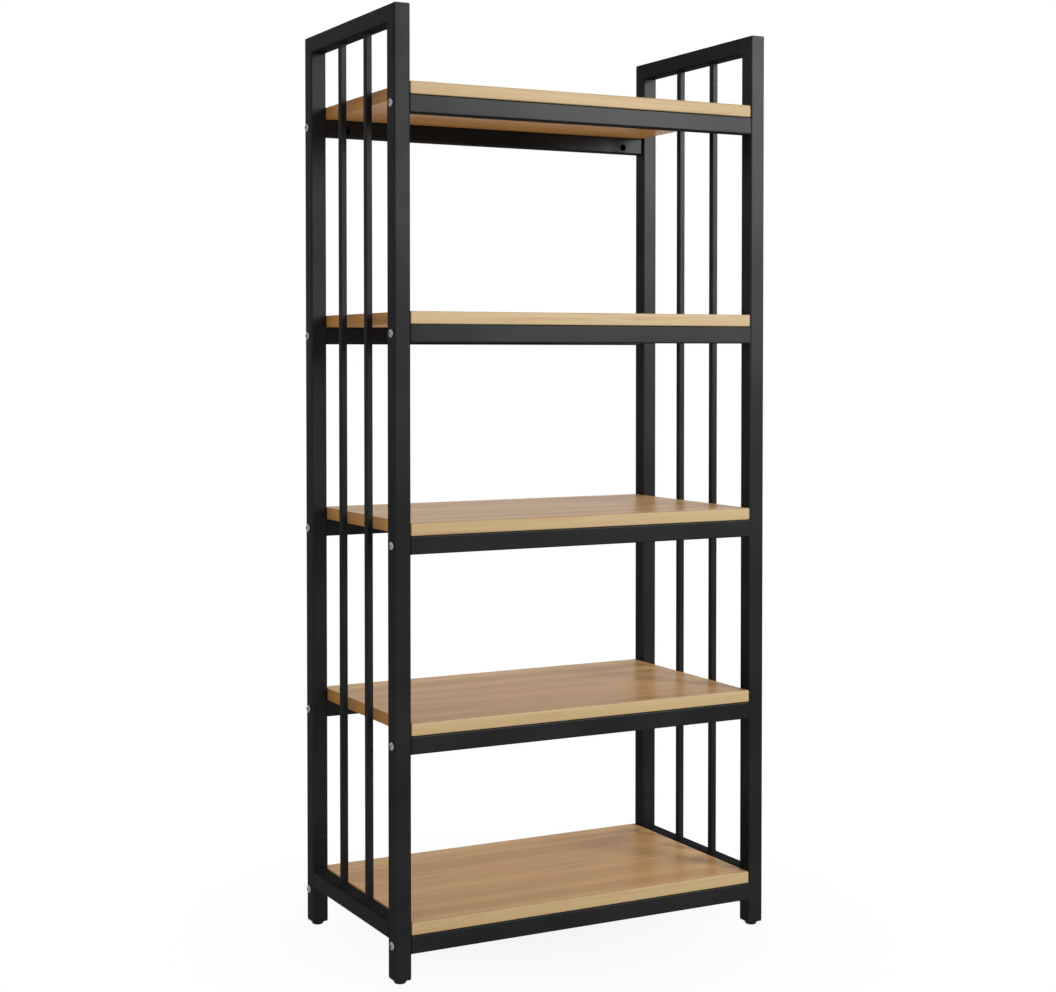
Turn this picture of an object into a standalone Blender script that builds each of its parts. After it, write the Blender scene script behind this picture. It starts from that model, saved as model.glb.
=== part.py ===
"""Open bookcase: two welded tube side frames, bolted cross rails, laid-on boards and screw-in levelling feet.

Metres, +Z up, +X to the right and the front towards -Y. The origin is on the floor, under the case's middle.
"""

import math

import bmesh
import bpy
from mathutils import Matrix, Vector

# Overall sizes over the side frames
WIDTH = 0.630
DEPTH = 0.325

# Heights: the lowest board's top, the step up to each next board's top, and the frames' rise above the last
BOTTOM_SHELF = 0.086
SHELF_STEPS = {"lower": 0.282, "middle": 0.282, "upper": 0.2975, "top": 0.321}
TOP_RISE = 0.107

# Clearance that touching pieces keep
SEAT_GAP = 0.0003

# Square tube of the posts and of the side frames' top and bottom rails
TUBE = 0.025
TUBE_WALL = 0.0012
TUBE_CORNER = 0.0022

# Upright bars of the side frames
BAR = 0.010
BAR_WALL = 0.0010
BAR_CORNER = 0.0014

# Cross rails, each closed by a threaded plate welded into its ends
RAIL_DEPTH = 0.020
RAIL_HEIGHT = 0.026
RAIL_WALL = 0.0012
RAIL_CORNER = 0.0018
END_PLATE = 0.005

# Screw holes of the cross rails: a wide one lets the screw in, a narrow one stops its head at the far wall
DRIVER_HOLE = 0.0115
WALL_SCREW_HOLE = 0.0055
WALL_HOLE_INSET = 0.038
WALL_HOLE_DROP = 0.0032
BOARD_SCREW_HOLE = 0.0045
BOARD_HOLE_INSET = 0.110

# Boards
BOARD_THICKNESS = 0.018
BOARD_END_GAP = 0.0035
BOARD_EDGE = 0.0010

# Dome-headed socket bolts
BOLT = 0.006
BOLT_PAST_PLATE = 0.004
BOLT_TIP = 0.0008
HEAD = 0.012
HEAD_RIM = 0.0008
HEAD_DOME = 0.0026
SOCKET_FLATS = 0.004
SOCKET_DEPTH = 0.0020

# Levelling feet: a plug in the post's end, a stem that turns in it and a pad that the stem carries
PAD = 0.0205
PAD_BASE = 0.0175
PAD_HEIGHT = 0.0054
PAD_TOP_CHAMFER = 0.0008
PAD_BASE_RADIUS = 0.0016
PAD_FLOOR = 0.0014
STEM = 0.008
STEM_LENGTH = 0.034
STEM_TIP = 0.0010
COLLAR = 0.012
COLLAR_HEIGHT = 0.0018
PLUG_FLANGE = 0.0015
PLUG_LENGTH = 0.018
PLUG_EDGE = 0.0006

# Facets
CORNER_STEPS = 3
ROUND_STEPS = 12
HOLE_SIDES = 12
DOME_STEPS = 3
FILLET_STEPS = 2
EDGE_STEPS = 2
ROUND_PROFILE = 0.5
SMOOTH_BELOW = math.radians(35)


def shelf_levels():
    """The height of each board's top, from the lowest up."""
    levels = {"bottom": BOTTOM_SHELF}
    for level, step in SHELF_STEPS.items():
        levels[level] = max(levels.values()) + step
    return levels


# Places that follow from the sizes above
LEVELS = shelf_levels()
HEIGHT = LEVELS["top"] + TOP_RISE
FLANGE_BASE = PAD_HEIGHT + SEAT_GAP
POST_BASE = FLANGE_BASE + PLUG_FLANGE + SEAT_GAP
POST_LENGTH = HEIGHT - POST_BASE
POST_X = (WIDTH - TUBE) / 2
POST_Y = (DEPTH - TUBE) / 2
RAIL_Y = (DEPTH - RAIL_DEPTH) / 2
RAIL_LENGTH = WIDTH - 2 * TUBE - 2 * SEAT_GAP
BOARD_LENGTH = WIDTH - 2 * TUBE - 2 * BOARD_END_GAP
SIDE_RAIL_LENGTH = DEPTH - 2 * TUBE - 2 * SEAT_GAP
SIDE_RAIL_TOP = BOTTOM_SHELF
BAR_BASE = SIDE_RAIL_TOP + SEAT_GAP
BAR_LENGTH = HEIGHT - TUBE - SEAT_GAP - BAR_BASE
BAR_Y = (DEPTH - 2 * TUBE) / 6
BOLT_LENGTH = TUBE + 2 * SEAT_GAP + END_PLATE + BOLT_PAST_PLATE
BOLT_HOLE = BOLT + 2 * SEAT_GAP

LEFT, RIGHT = -1, 1
FRONT, REAR = -1, 1
SIDES = {"left": LEFT, "right": RIGHT}
ENDS = {"front": FRONT, "rear": REAR}


def clear_scene():
    for item in list(bpy.data.objects):
        bpy.data.objects.remove(item, do_unlink=True)


def new_collection(name):
    group = bpy.data.collections.new(name)
    bpy.context.scene.collection.children.link(group)
    return group


def new_material(name, colour, roughness, metallic):
    material = bpy.data.materials.new(name)
    material.use_nodes = True
    shader = material.node_tree.nodes["Principled BSDF"]
    shader.inputs["Base Color"].default_value = (*colour, 1.0)
    shader.inputs["Roughness"].default_value = roughness
    shader.inputs["Metallic"].default_value = metallic
    return material


def rail_top(level):
    """The height of the cross rails' upper face, on which a level's board lies."""
    return LEVELS[level] - BOARD_THICKNESS - SEAT_GAP


def bolt_height(level):
    return rail_top(level) - RAIL_HEIGHT / 2


def outline_face(bm, width, depth, radius):
    """A flat rounded rectangle round the Z axis, at z = 0."""
    verts = []
    for quarter, (side_x, side_y) in enumerate(((1, 1), (-1, 1), (-1, -1), (1, -1))):
        for step in range(CORNER_STEPS + 1):
            angle = math.radians(90 * (quarter + step / CORNER_STEPS))
            x = side_x * (width / 2 - radius) + radius * math.cos(angle)
            y = side_y * (depth / 2 - radius) + radius * math.sin(angle)
            verts.append(bm.verts.new((x, y, 0.0)))
    rim = [bm.edges.new(pair) for pair in zip(verts, verts[1:] + verts[:1])]
    return bmesh.ops.edgeloop_fill(bm, edges=rim)["faces"]


def inset(bm, faces, width):
    """Offsets the rim of a flat face inwards by an even width."""
    bmesh.ops.inset_region(bm, faces=faces, thickness=width, use_even_offset=True, use_boundary=True)


def draw_out(bm, faces, height):
    """Extrudes flat faces along Z to a height, and returns the faces at the far end."""
    drawn = bmesh.ops.extrude_face_region(bm, geom=faces)["geom"]
    far_verts = {item for item in drawn if isinstance(item, bmesh.types.BMVert)}
    for vert in far_verts:
        vert.co.z = height
    return [face for face in bm.faces if far_verts.issuperset(face.verts)]


def slope_end(verts, shift, slope):
    """Slopes a flat end along Y, with its middle moved by shift."""
    for vert in verts:
        vert.co.z += shift + slope * vert.co.y


def finished_mesh(bm, name, material):
    mesh = bpy.data.meshes.new(name)
    bm.to_mesh(mesh)
    bm.free()
    mesh.materials.append(material)
    mesh.shade_smooth()
    mesh.set_sharp_from_angle(angle=SMOOTH_BELOW)
    return mesh


def tube_mesh(name, size, length, wall, corner, material, mitre_low=False, mitre_high=False):
    """An open square tube along Z. A mitred end is cut at 45 degrees, longest on the -Y side."""
    half_seam = SEAT_GAP / math.sqrt(2)
    bm = bmesh.new()
    section = outline_face(bm, size, size, corner)
    inset(bm, section, wall)
    bmesh.ops.delete(bm, geom=section, context="FACES_ONLY")
    low_end = set(bm.verts)
    draw_out(bm, bm.faces[:], length)
    high_end = set(bm.verts) - low_end
    if mitre_low:
        slope_end(low_end, size / 2 + half_seam, 1.0)
    if mitre_high:
        slope_end(high_end, -size / 2 - half_seam, -1.0)
    bmesh.ops.recalc_face_normals(bm, faces=bm.faces)
    return finished_mesh(bm, name, material)


def cross_rail_mesh(name, material):
    """A tube along X with a plate welded into each end. Its cavity opens only by the drilled holes."""
    bm = bmesh.new()
    inner_corner = max(RAIL_CORNER - RAIL_WALL, RAIL_WALL / 4)
    draw_out(bm, outline_face(bm, RAIL_HEIGHT - 2 * RAIL_WALL, RAIL_DEPTH - 2 * RAIL_WALL, inner_corner),
             RAIL_LENGTH - 2 * END_PLATE)
    bmesh.ops.translate(bm, verts=bm.verts, vec=(0.0, 0.0, END_PLATE))
    cavity = bm.faces[:]
    bmesh.ops.recalc_face_normals(bm, faces=cavity)
    bmesh.ops.reverse_faces(bm, faces=cavity)
    draw_out(bm, outline_face(bm, RAIL_HEIGHT, RAIL_DEPTH, RAIL_CORNER), RAIL_LENGTH)
    bmesh.ops.recalc_face_normals(bm, faces=[face for face in bm.faces if face not in cavity])
    bmesh.ops.translate(bm, verts=bm.verts, vec=(0.0, 0.0, -RAIL_LENGTH / 2))
    bmesh.ops.rotate(bm, verts=bm.verts, matrix=Matrix.Rotation(math.radians(90), 3, "Y"))
    return finished_mesh(bm, name, material)


def board_mesh(name, material):
    bm = bmesh.new()
    size = Matrix.Diagonal((BOARD_LENGTH, DEPTH, BOARD_THICKNESS, 1.0))
    bmesh.ops.create_cube(bm, size=1.0, matrix=size)
    bmesh.ops.bevel(bm, geom=bm.edges[:], offset=BOARD_EDGE, segments=EDGE_STEPS, profile=ROUND_PROFILE,
                    affect="EDGES")
    return finished_mesh(bm, name, material)


def arc(centre_r, centre_z, radius_r, radius_z, start, end, steps):
    """Points of a quarter ellipse in the (r, z) half plane, with angles in degrees."""
    turns = [math.radians(start + (end - start) * step / steps) for step in range(steps + 1)]
    return [(centre_r + radius_r * math.cos(a), centre_z + radius_z * math.sin(a)) for a in turns]


def turned_object(name, profile, material):
    """A solid turned about Z from (r, z) points that run down its outer side."""
    bm = bmesh.new()
    verts = [bm.verts.new((r, 0.0, z)) for r, z in profile]
    for pair in zip(verts, verts[1:]):
        bm.edges.new(pair)
    turned = bpy.data.objects.new(name, finished_mesh(bm, name, material))
    screw = turned.modifiers.new("turn", "SCREW")
    screw.axis = "Z"
    screw.steps = ROUND_STEPS
    screw.render_steps = ROUND_STEPS
    screw.use_merge_vertices = True
    screw.merge_threshold = 0.00001
    screw.use_smooth_shade = True
    return turned


def settled_mesh(source):
    """The object's evaluated shape as a plain mesh, to be shared by each copy of a piece."""
    bpy.context.scene.collection.objects.link(source)
    graph = bpy.context.evaluated_depsgraph_get()
    mesh = bpy.data.meshes.new_from_object(source.evaluated_get(graph))
    mesh.name = source.name
    mesh.shade_smooth()
    mesh.set_sharp_from_angle(angle=SMOOTH_BELOW)
    bpy.data.objects.remove(source, do_unlink=True)
    return mesh


def bolt_mesh(name, material, cutters):
    """A dome-headed bolt along Z, its head's seat at z = 0, with a hexagon socket."""
    dome = arc(0.0, HEAD_RIM, HEAD / 2, HEAD_DOME, 90, 0, DOME_STEPS)
    profile = dome + [
        (HEAD / 2, 0.0),
        (BOLT / 2, 0.0),
        (BOLT / 2, BOLT_TIP - BOLT_LENGTH),
        (BOLT / 2 - BOLT_TIP, -BOLT_LENGTH),
        (0.0, -BOLT_LENGTH),
    ]
    profile[0] = (0.0, HEAD_RIM + HEAD_DOME)
    bolt = turned_object(name, profile, material)
    head_top = HEAD_RIM + HEAD_DOME
    key = new_cutter("socket_key", cutters)
    bm = bmesh.new()
    corner_radius = SOCKET_FLATS / math.sqrt(3)
    place = Matrix.Translation((0.0, 0.0, head_top))
    bmesh.ops.create_cone(bm, cap_ends=True, segments=6, radius1=corner_radius, radius2=corner_radius,
                          depth=2 * SOCKET_DEPTH, matrix=place)
    bm.to_mesh(key.data)
    bm.free()
    cut(bolt, key)
    mesh = settled_mesh(bolt)
    bpy.data.objects.remove(key, do_unlink=True)
    return mesh


def pad_mesh(name, material):
    """A round pad with its base at z = 0 and a lipped socket that holds the stem's collar."""
    socket = COLLAR / 2 + SEAT_GAP
    lip = PAD_FLOOR + COLLAR_HEIGHT + 2 * SEAT_GAP
    neck = STEM / 2 + SEAT_GAP
    edge = PAD / 2
    fillet_r = PAD_BASE / 2 - PAD_BASE_RADIUS
    profile = [
        (0.0, PAD_FLOOR),
        (socket, PAD_FLOOR),
        (socket, lip),
        (neck, lip),
        (neck, PAD_HEIGHT),
        (edge - PAD_TOP_CHAMFER, PAD_HEIGHT),
        (edge, PAD_HEIGHT - PAD_TOP_CHAMFER),
    ]
    profile += arc(fillet_r, PAD_BASE_RADIUS, PAD_BASE_RADIUS, PAD_BASE_RADIUS, 0, -90, FILLET_STEPS)
    profile.append((0.0, 0.0))
    return settled_mesh(turned_object(name, profile, material))


def stem_mesh(name, material):
    """A stem with its collar's base at z = 0."""
    profile = [
        (0.0, STEM_LENGTH),
        (STEM / 2 - STEM_TIP, STEM_LENGTH),
        (STEM / 2, STEM_LENGTH - STEM_TIP),
        (STEM / 2, COLLAR_HEIGHT),
        (COLLAR / 2, COLLAR_HEIGHT),
        (COLLAR / 2, 0.0),
        (0.0, 0.0),
    ]
    return settled_mesh(turned_object(name, profile, material))


def plug_mesh(name, material, cutters):
    """A flanged square plug with its flange's base at z = 0, bored through for the stem."""
    bm = bmesh.new()
    outline = TUBE - 2 * SEAT_GAP
    top = PLUG_FLANGE + PLUG_LENGTH
    seat = draw_out(bm, outline_face(bm, outline, outline, TUBE_CORNER), PLUG_FLANGE)
    inset(bm, seat, TUBE_WALL)
    tip = draw_out(bm, seat, top - PLUG_EDGE)
    bmesh.ops.delete(bm, geom=seat, context="FACES_ONLY")
    inset(bm, tip, PLUG_EDGE)
    for vert in tip[0].verts:
        vert.co.z = top
    bmesh.ops.recalc_face_normals(bm, faces=bm.faces)
    plug = bpy.data.objects.new(name, finished_mesh(bm, name, material))
    bore = new_cutter("stem_bore", cutters)
    bm = bmesh.new()
    drill(bm, STEM + 2 * SEAT_GAP, Vector((0.0, 0.0, -PLUG_FLANGE)), Vector((0.0, 0.0, top + PLUG_FLANGE)))
    bm.to_mesh(bore.data)
    bm.free()
    cut(plug, bore)
    mesh = settled_mesh(plug)
    bpy.data.objects.remove(bore, do_unlink=True)
    return mesh


def drill(bm, diameter, start, end):
    """Adds a closed cylinder from start to end."""
    way = end - start
    turn = way.to_track_quat("Z", "Y").to_matrix().to_4x4()
    bmesh.ops.create_cone(bm, cap_ends=True, segments=HOLE_SIDES, radius1=diameter / 2, radius2=diameter / 2,
                          depth=way.length, matrix=Matrix.Translation((start + end) / 2) @ turn)


def new_cutter(name, cutters):
    cutter = bpy.data.objects.new(name, bpy.data.meshes.new(name))
    cutter.hide_render = True
    cutter.display_type = "WIRE"
    cutters.objects.link(cutter)
    return cutter


def cut(target, cutter):
    boolean = target.modifiers.new("cut_" + cutter.name, "BOOLEAN")
    boolean.operation = "DIFFERENCE"
    boolean.solver = "EXACT"
    boolean.object = cutter


def bolt_drills(end, cutters):
    """Drills along X through both posts and both rail ends at every level, on the rails' centre line."""
    drills = new_cutter(end + "_bolt_drills", cutters)
    bm = bmesh.new()
    reach = WIDTH / 2 + TUBE
    for level in LEVELS:
        middle = Vector((0.0, ENDS[end] * RAIL_Y, bolt_height(level)))
        drill(bm, BOLT_HOLE, middle - Vector((reach, 0.0, 0.0)), middle + Vector((reach, 0.0, 0.0)))
    bm.to_mesh(drills.data)
    bm.free()
    return drills


def drill_for_screw(bm, middle, half_rail, screw_hole):
    """Adds a wide drill through a rail's near wall and a narrow one through its far wall, along half_rail."""
    wall = half_rail.normalized() * RAIL_WALL
    inner = half_rail - 2 * wall
    outer = half_rail + wall
    drill(bm, DRIVER_HOLE, middle - outer, middle - inner)
    drill(bm, screw_hole, middle + inner, middle + outer)


def wall_drills(cutters):
    """Drills back through the top rear rail, for screws into a wall."""
    drills = new_cutter("wall_fixing_drills", cutters)
    bm = bmesh.new()
    height = bolt_height("top") - WALL_HOLE_DROP
    for side in SIDES.values():
        middle = Vector((side * (WIDTH / 2 - TUBE - WALL_HOLE_INSET), RAIL_Y, height))
        drill_for_screw(bm, middle, Vector((0.0, RAIL_DEPTH / 2, 0.0)), WALL_SCREW_HOLE)
    bm.to_mesh(drills.data)
    bm.free()
    return drills


def board_drills(end, cutters):
    """Drills up through the cross rails of one end, for screws into the boards."""
    drills = new_cutter(end + "_board_drills", cutters)
    bm = bmesh.new()
    for level in LEVELS:
        for side in SIDES.values():
            x = side * (WIDTH / 2 - TUBE - BOARD_HOLE_INSET)
            middle = Vector((x, ENDS[end] * RAIL_Y, bolt_height(level)))
            drill_for_screw(bm, middle, Vector((0.0, 0.0, RAIL_HEIGHT / 2)), BOARD_SCREW_HOLE)
    bm.to_mesh(drills.data)
    bm.free()
    return drills


def place(name, mesh, group, parent, location, rotation=(0.0, 0.0, 0.0)):
    piece = bpy.data.objects.new(name, mesh)
    piece.location = location
    piece.rotation_euler = [math.radians(angle) for angle in rotation]
    piece.parent = parent
    group.objects.link(piece)
    return piece


def build_side_frames(group, base, drills, coat):
    post = tube_mesh("post", TUBE, POST_LENGTH, TUBE_WALL, TUBE_CORNER, coat, mitre_high=True)
    top_rail = tube_mesh("top_rail", TUBE, DEPTH, TUBE_WALL, TUBE_CORNER, coat, mitre_low=True,
                         mitre_high=True)
    bottom_rail = tube_mesh("bottom_rail", TUBE, SIDE_RAIL_LENGTH, TUBE_WALL, TUBE_CORNER, coat)
    bar = tube_mesh("bar", BAR, BAR_LENGTH, BAR_WALL, BAR_CORNER, coat)
    for side, sign in SIDES.items():
        x = sign * POST_X
        for end, facing in ENDS.items():
            turn = 0.0 if facing == FRONT else 180.0
            foot_of_post = (x, facing * POST_Y, POST_BASE)
            standing = place(f"{side}_{end}_post", post, group, base, foot_of_post, (0, 0, turn))
            cut(standing, drills[end])
            place(f"{side}_{end}_bar", bar, group, base, (x, facing * BAR_Y, BAR_BASE))
        place(f"{side}_top_rail", top_rail, group, base, (x, -DEPTH / 2, HEIGHT - TUBE / 2), (-90, 0, 0))
        place(f"{side}_bottom_rail", bottom_rail, group, base,
              (x, -SIDE_RAIL_LENGTH / 2, SIDE_RAIL_TOP - TUBE / 2), (-90, 0, 0))


def build_shelves(group, base, drills, cutters, coat, wood):
    screw_drills = {end: board_drills(end, cutters) for end in ENDS}
    wall_screw_drills = wall_drills(cutters)
    rail = cross_rail_mesh("cross_rail", coat)
    board = board_mesh("board", wood)
    for level, top in LEVELS.items():
        for end, facing in ENDS.items():
            spot = (0.0, facing * RAIL_Y, rail_top(level) - RAIL_HEIGHT / 2)
            cross_rail = place(f"{level}_{end}_rail", rail, group, base, spot)
            cut(cross_rail, drills[end])
            cut(cross_rail, screw_drills[end])
            if (level, facing) == ("top", REAR):
                cut(cross_rail, wall_screw_drills)
        place(f"{level}_board", board, group, base, (0.0, 0.0, top - BOARD_THICKNESS / 2))


def build_bolts(group, base, cutters, zinc):
    bolt = bolt_mesh("bolt", zinc, cutters)
    for level in LEVELS:
        for side, sign in SIDES.items():
            for end, facing in ENDS.items():
                spot = (sign * (WIDTH / 2 + SEAT_GAP), facing * RAIL_Y, bolt_height(level))
                place(f"{level}_{side}_{end}_bolt", bolt, group, base, spot, (0, sign * 90, 0))


def build_feet(group, base, cutters, plastic, steel):
    pad = pad_mesh("foot_pad", plastic)
    stem = stem_mesh("foot_stem", steel)
    plug = plug_mesh("foot_plug", plastic, cutters)
    for side, sign in SIDES.items():
        for end, facing in ENDS.items():
            axis = bpy.data.objects.new(f"{side}_{end}_foot_axis", None)
            axis.location = (sign * POST_X, facing * POST_Y, 0.0)
            axis.parent = base
            group.objects.link(axis)
            place(f"{side}_{end}_foot_pad", pad, group, axis, (0.0, 0.0, 0.0))
            place(f"{side}_{end}_foot_stem", stem, group, axis, (0.0, 0.0, PAD_FLOOR + SEAT_GAP))
            place(f"{side}_{end}_foot_plug", plug, group, axis, (0.0, 0.0, FLANGE_BASE))


def main():
    clear_scene()
    group = new_collection("bookcase")
    cutters = new_collection("cutters")
    base = bpy.data.objects.new("floor_centre", None)
    group.objects.link(base)
    coat = new_material("black_coat", (0.018, 0.018, 0.019), 0.42, 0.0)
    wood = new_material("oak_board", (0.47, 0.30, 0.16), 0.50, 0.0)
    zinc = new_material("bright_zinc", (0.55, 0.55, 0.56), 0.32, 1.0)
    steel = new_material("stem_steel", (0.45, 0.45, 0.46), 0.40, 1.0)
    plastic = new_material("black_plastic", (0.012, 0.012, 0.012), 0.55, 0.0)
    drills = {end: bolt_drills(end, cutters) for end in ENDS}
    build_side_frames(group, base, drills, coat)
    build_shelves(group, base, drills, cutters, coat, wood)
    build_bolts(group, base, cutters, zinc)
    build_feet(group, base, cutters, plastic, steel)


if __name__ == "__main__":
    main()
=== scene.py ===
"""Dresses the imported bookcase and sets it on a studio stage.

Powder-coated tube, laminated boards, dome-headed bolts, board screws, welds and levelling feet. Lengths are
in metres, +Z is up and the front looks towards -Y.
"""

import math

import bmesh
import bpy
from bpy.props import FloatProperty, FloatVectorProperty, IntProperty, PointerProperty
from mathutils import Matrix, Vector


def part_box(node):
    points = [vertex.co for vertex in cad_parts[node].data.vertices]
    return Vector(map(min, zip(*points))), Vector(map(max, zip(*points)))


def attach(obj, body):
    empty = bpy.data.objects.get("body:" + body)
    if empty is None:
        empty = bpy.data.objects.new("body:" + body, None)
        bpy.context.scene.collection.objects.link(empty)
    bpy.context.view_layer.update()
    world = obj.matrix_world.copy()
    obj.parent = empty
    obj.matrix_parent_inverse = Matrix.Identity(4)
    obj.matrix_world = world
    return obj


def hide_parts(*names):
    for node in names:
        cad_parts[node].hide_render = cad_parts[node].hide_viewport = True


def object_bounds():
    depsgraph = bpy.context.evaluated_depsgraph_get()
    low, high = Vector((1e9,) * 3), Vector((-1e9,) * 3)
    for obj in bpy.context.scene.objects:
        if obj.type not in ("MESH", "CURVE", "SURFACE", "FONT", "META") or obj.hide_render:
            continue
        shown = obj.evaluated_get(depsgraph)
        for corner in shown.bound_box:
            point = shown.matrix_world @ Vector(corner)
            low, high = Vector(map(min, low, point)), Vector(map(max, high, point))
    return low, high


bl_info = {
    "name": "Tube-frame bookcase",
    "version": (1, 0, 0),
    "blender": (4, 5, 0),
    "location": "View3D > Sidebar > Bookcase",
    "description": "Makes the visible finish of a bookcase round its packed CAD frame",
    "category": "Object",
}

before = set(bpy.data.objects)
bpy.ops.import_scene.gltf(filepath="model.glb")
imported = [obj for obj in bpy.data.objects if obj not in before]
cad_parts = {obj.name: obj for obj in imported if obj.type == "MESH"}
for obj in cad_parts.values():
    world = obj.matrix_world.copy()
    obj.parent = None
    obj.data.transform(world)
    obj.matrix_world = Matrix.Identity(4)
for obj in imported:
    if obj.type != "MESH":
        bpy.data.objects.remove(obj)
CAD_BOX = [list(corner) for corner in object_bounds()]

LEVELS = ("bottom", "lower", "middle", "upper", "top")
SIDES = {"left": -1, "right": 1}
ENDS = {"front": -1, "rear": 1}
CORNERS = [(side, end) for side in SIDES for end in ENDS]
CASE = "case"

FULL_TURN = 2 * math.pi
WHITE = (1.0, 1.0, 1.0, 1.0)
SMOOTH_BELOW = math.radians(35)
SAME_POINT = 0.000002  # points closer than this are merged
LEVEL_NORMAL = 0.999  # a face with a larger Z in its normal is level
FACE_AREA = 0.01  # a board's faces are larger, the level strips of its bevels smaller
LEAST_RIM = 0.0001  # least width of the edge band that shows on a board's face
BAR_CORNER = 0.0012  # cut of a weld's ring at each corner of a bar
SEAM_CORNER = 0.0022  # radius of a ground seam's corners
NECK_ROUND = 0.0003  # radius of the pad's edge round the stem
FLOOR_HALF = 14.0  # half the width of the floor
SENSOR = 36.0  # width in millimetres of the sensor that the lens belongs to

TOP_FACE, LONG_EDGE, SHORT_END, UNDERSIDE = range(4)  # material slots of a board
FASTENER_SIZES = ("Head", "Rim", "Dome", "Shank", "Reach", "Drive", "Drive Depth")
WELD_SIZES = ("Bead", "Ripple", "Ripple Share")
STEM_SIZES = ("Stem", "Pitch", "Thread", "Collar", "Collar Height", "Reach")
SOFTBOXES = ("key", "fill", "back", "side")
SEEING_RAYS = ("Is Camera Ray", "Is Transmission Ray", "Is Glossy Ray")
ZINC = "bright_zinc_plate"


def linear(red, green, blue):
    """Scene-linear colour of an 8-bit display colour, by the sRGB curve."""
    shares = [value / 255 for value in (red, green, blue)]
    return tuple(s / 12.92 if s <= 0.04045 else ((s + 0.055) / 1.055) ** 2.4 for s in shares)


def opaque(rgb):
    return (*rgb, 1.0)


def box_middle(node):
    low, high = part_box(node)
    return (low + high) / 2


def box_size(node):
    low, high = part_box(node)
    return high - low


def length(name, description, default):
    return FloatProperty(name=name, description=description, default=default, min=0.0, unit="LENGTH",
                         precision=5)


def share(name, description, default):
    return FloatProperty(name=name, description=description, default=default, min=0.0, max=1.0,
                         subtype="FACTOR")


def colour(name, description, default):
    return FloatVectorProperty(name=name, description=description, default=default, min=0.0, max=1.0,
                               subtype="COLOR")


def bearing(name, description, default):
    return FloatProperty(name=name, description=description, default=default, subtype="ANGLE")


def point(name, description, default):
    return FloatVectorProperty(name=name, description=description, default=default, subtype="TRANSLATION",
                               unit="LENGTH")


def spread(name, description, default):
    return FloatVectorProperty(name=name, description=description, default=default, size=2, unit="LENGTH")


def watts(name, description, default):
    return FloatProperty(name=name, description=description, default=default, min=0.0)


BOLT_BOX = box_size("top_left_front_bolt")
PAD_BOX = box_size("left_front_foot_pad")
STEM_BOX = box_size("left_front_foot_stem")


class CoatSettings(bpy.types.PropertyGroup):
    charcoal: colour("Charcoal", "Colour of the powder coat", linear(35, 35, 35))
    rubbed: colour("Rubbed", "Colour where the coat is polished along its edges", linear(38, 38, 38))
    roughness: share("Roughness", "Roughness of the coat on upright faces", 0.31)
    dryness: share("Dryness", "Roughness that the drier film on faces looking up or down adds", 0.38)
    specular: share("Specular", "Strength of the clear film's mirror reflection", 0.03)
    pigment: share("Pigment", "Share of fine metallic pigment in the coat", 0.55)
    glance: share("Glance", "Grey of the pigment's reflection at a glancing angle", 0.13)
    peel: length("Peel", "Width of one dimple of the coat's orange peel", 0.0016)
    peel_depth: length("Peel depth", "Depth of the coat's dimples", 0.00003)


class BoardSettings(bpy.types.PropertyGroup):
    pale: colour("Pale wood", "Lightest tone of the laminate's grain", linear(221, 180, 127))
    tan: colour("Tan wood", "Middle tone of the laminate's grain", linear(197, 154, 104))
    brown: colour("Brown streaks", "Darkest tone of the laminate's grain", linear(154, 108, 68))
    # The band's tones are paler and less saturated than the laminate's: partly the edge tape's own colour,
    # partly a painted sheen.
    band_pale: colour("Pale band", "Lightest tone of the edge band", linear(201, 177, 137))
    band_tan: colour("Tan band", "Middle tone of the edge band", linear(191, 164, 121))
    band_brown: colour("Brown band", "Darkest tone of the edge band", linear(166, 126, 80))
    # The undersides' tones are warmer and redder than the laminate's: partly a backing of their own, partly
    # painted bounce light.
    under_pale: colour("Pale underside", "Lightest tone of the undersides", linear(226, 178, 112))
    under_tan: colour("Tan underside", "Middle tone of the undersides", linear(210, 155, 91))
    under_brown: colour("Brown underside", "Darkest tone of the undersides", linear(164, 110, 62))
    # The short ends' tones are the band's wood made darker and more saturated: painted shade.
    end_pale: colour("Pale end", "Lightest tone of the short ends", linear(197, 144, 82))
    end_tan: colour("Tan end", "Middle tone of the short ends", linear(177, 123, 66))
    end_brown: colour("Brown end", "Darkest tone of the short ends", linear(137, 87, 44))
    roughness: share("Roughness", "Roughness of the laminate", 0.32)
    band_roughness: share("Band roughness", "Roughness of the edge band", 0.36)
    end_roughness: share("End roughness", "Roughness of the short ends", 0.55)
    specular: share("Specular", "Strength of the laminate's mirror reflection", 0.035)
    band_specular: share("Band specular", "Strength of the edge band's mirror reflection", 0.16)
    end_specular: share("End specular", "Strength of the short ends' mirror reflection", 0.12)
    reach: length("Reach", "How far each end reaches past the board's solid, towards the posts", 0.003)
    arris: length("Arris", "Radius of the boards' edges", 0.0019)
    band: length("Band", "Thickness of the edge band", 0.0021)
    seam: length("Seam", "Half width and depth of the groove between the band and the face", 0.00012)


class BoltSettings(bpy.types.PropertyGroup):
    zinc: colour("Zinc", "Colour of the bolts' plating", linear(140, 141, 144))
    roughness: share("Roughness", "Roughness of the plating", 0.42)
    head: length("Head", "Diameter of the dome head", BOLT_BOX.z)
    rim: length("Rim", "Height of the head's upright rim", 0.0008)
    dome: length("Dome", "Rise of the dome over the rim", 0.0026)
    shank: length("Shank", "Diameter of the shank", 0.006)
    drive: length("Drive", "Width of the hexagon socket over its flats", 0.004)
    drive_depth: length("Drive depth", "Depth of the hexagon socket", 0.0020)
    seed: IntProperty(name="Seed", description="Seed of the bolts' turned positions", default=7)


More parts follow.
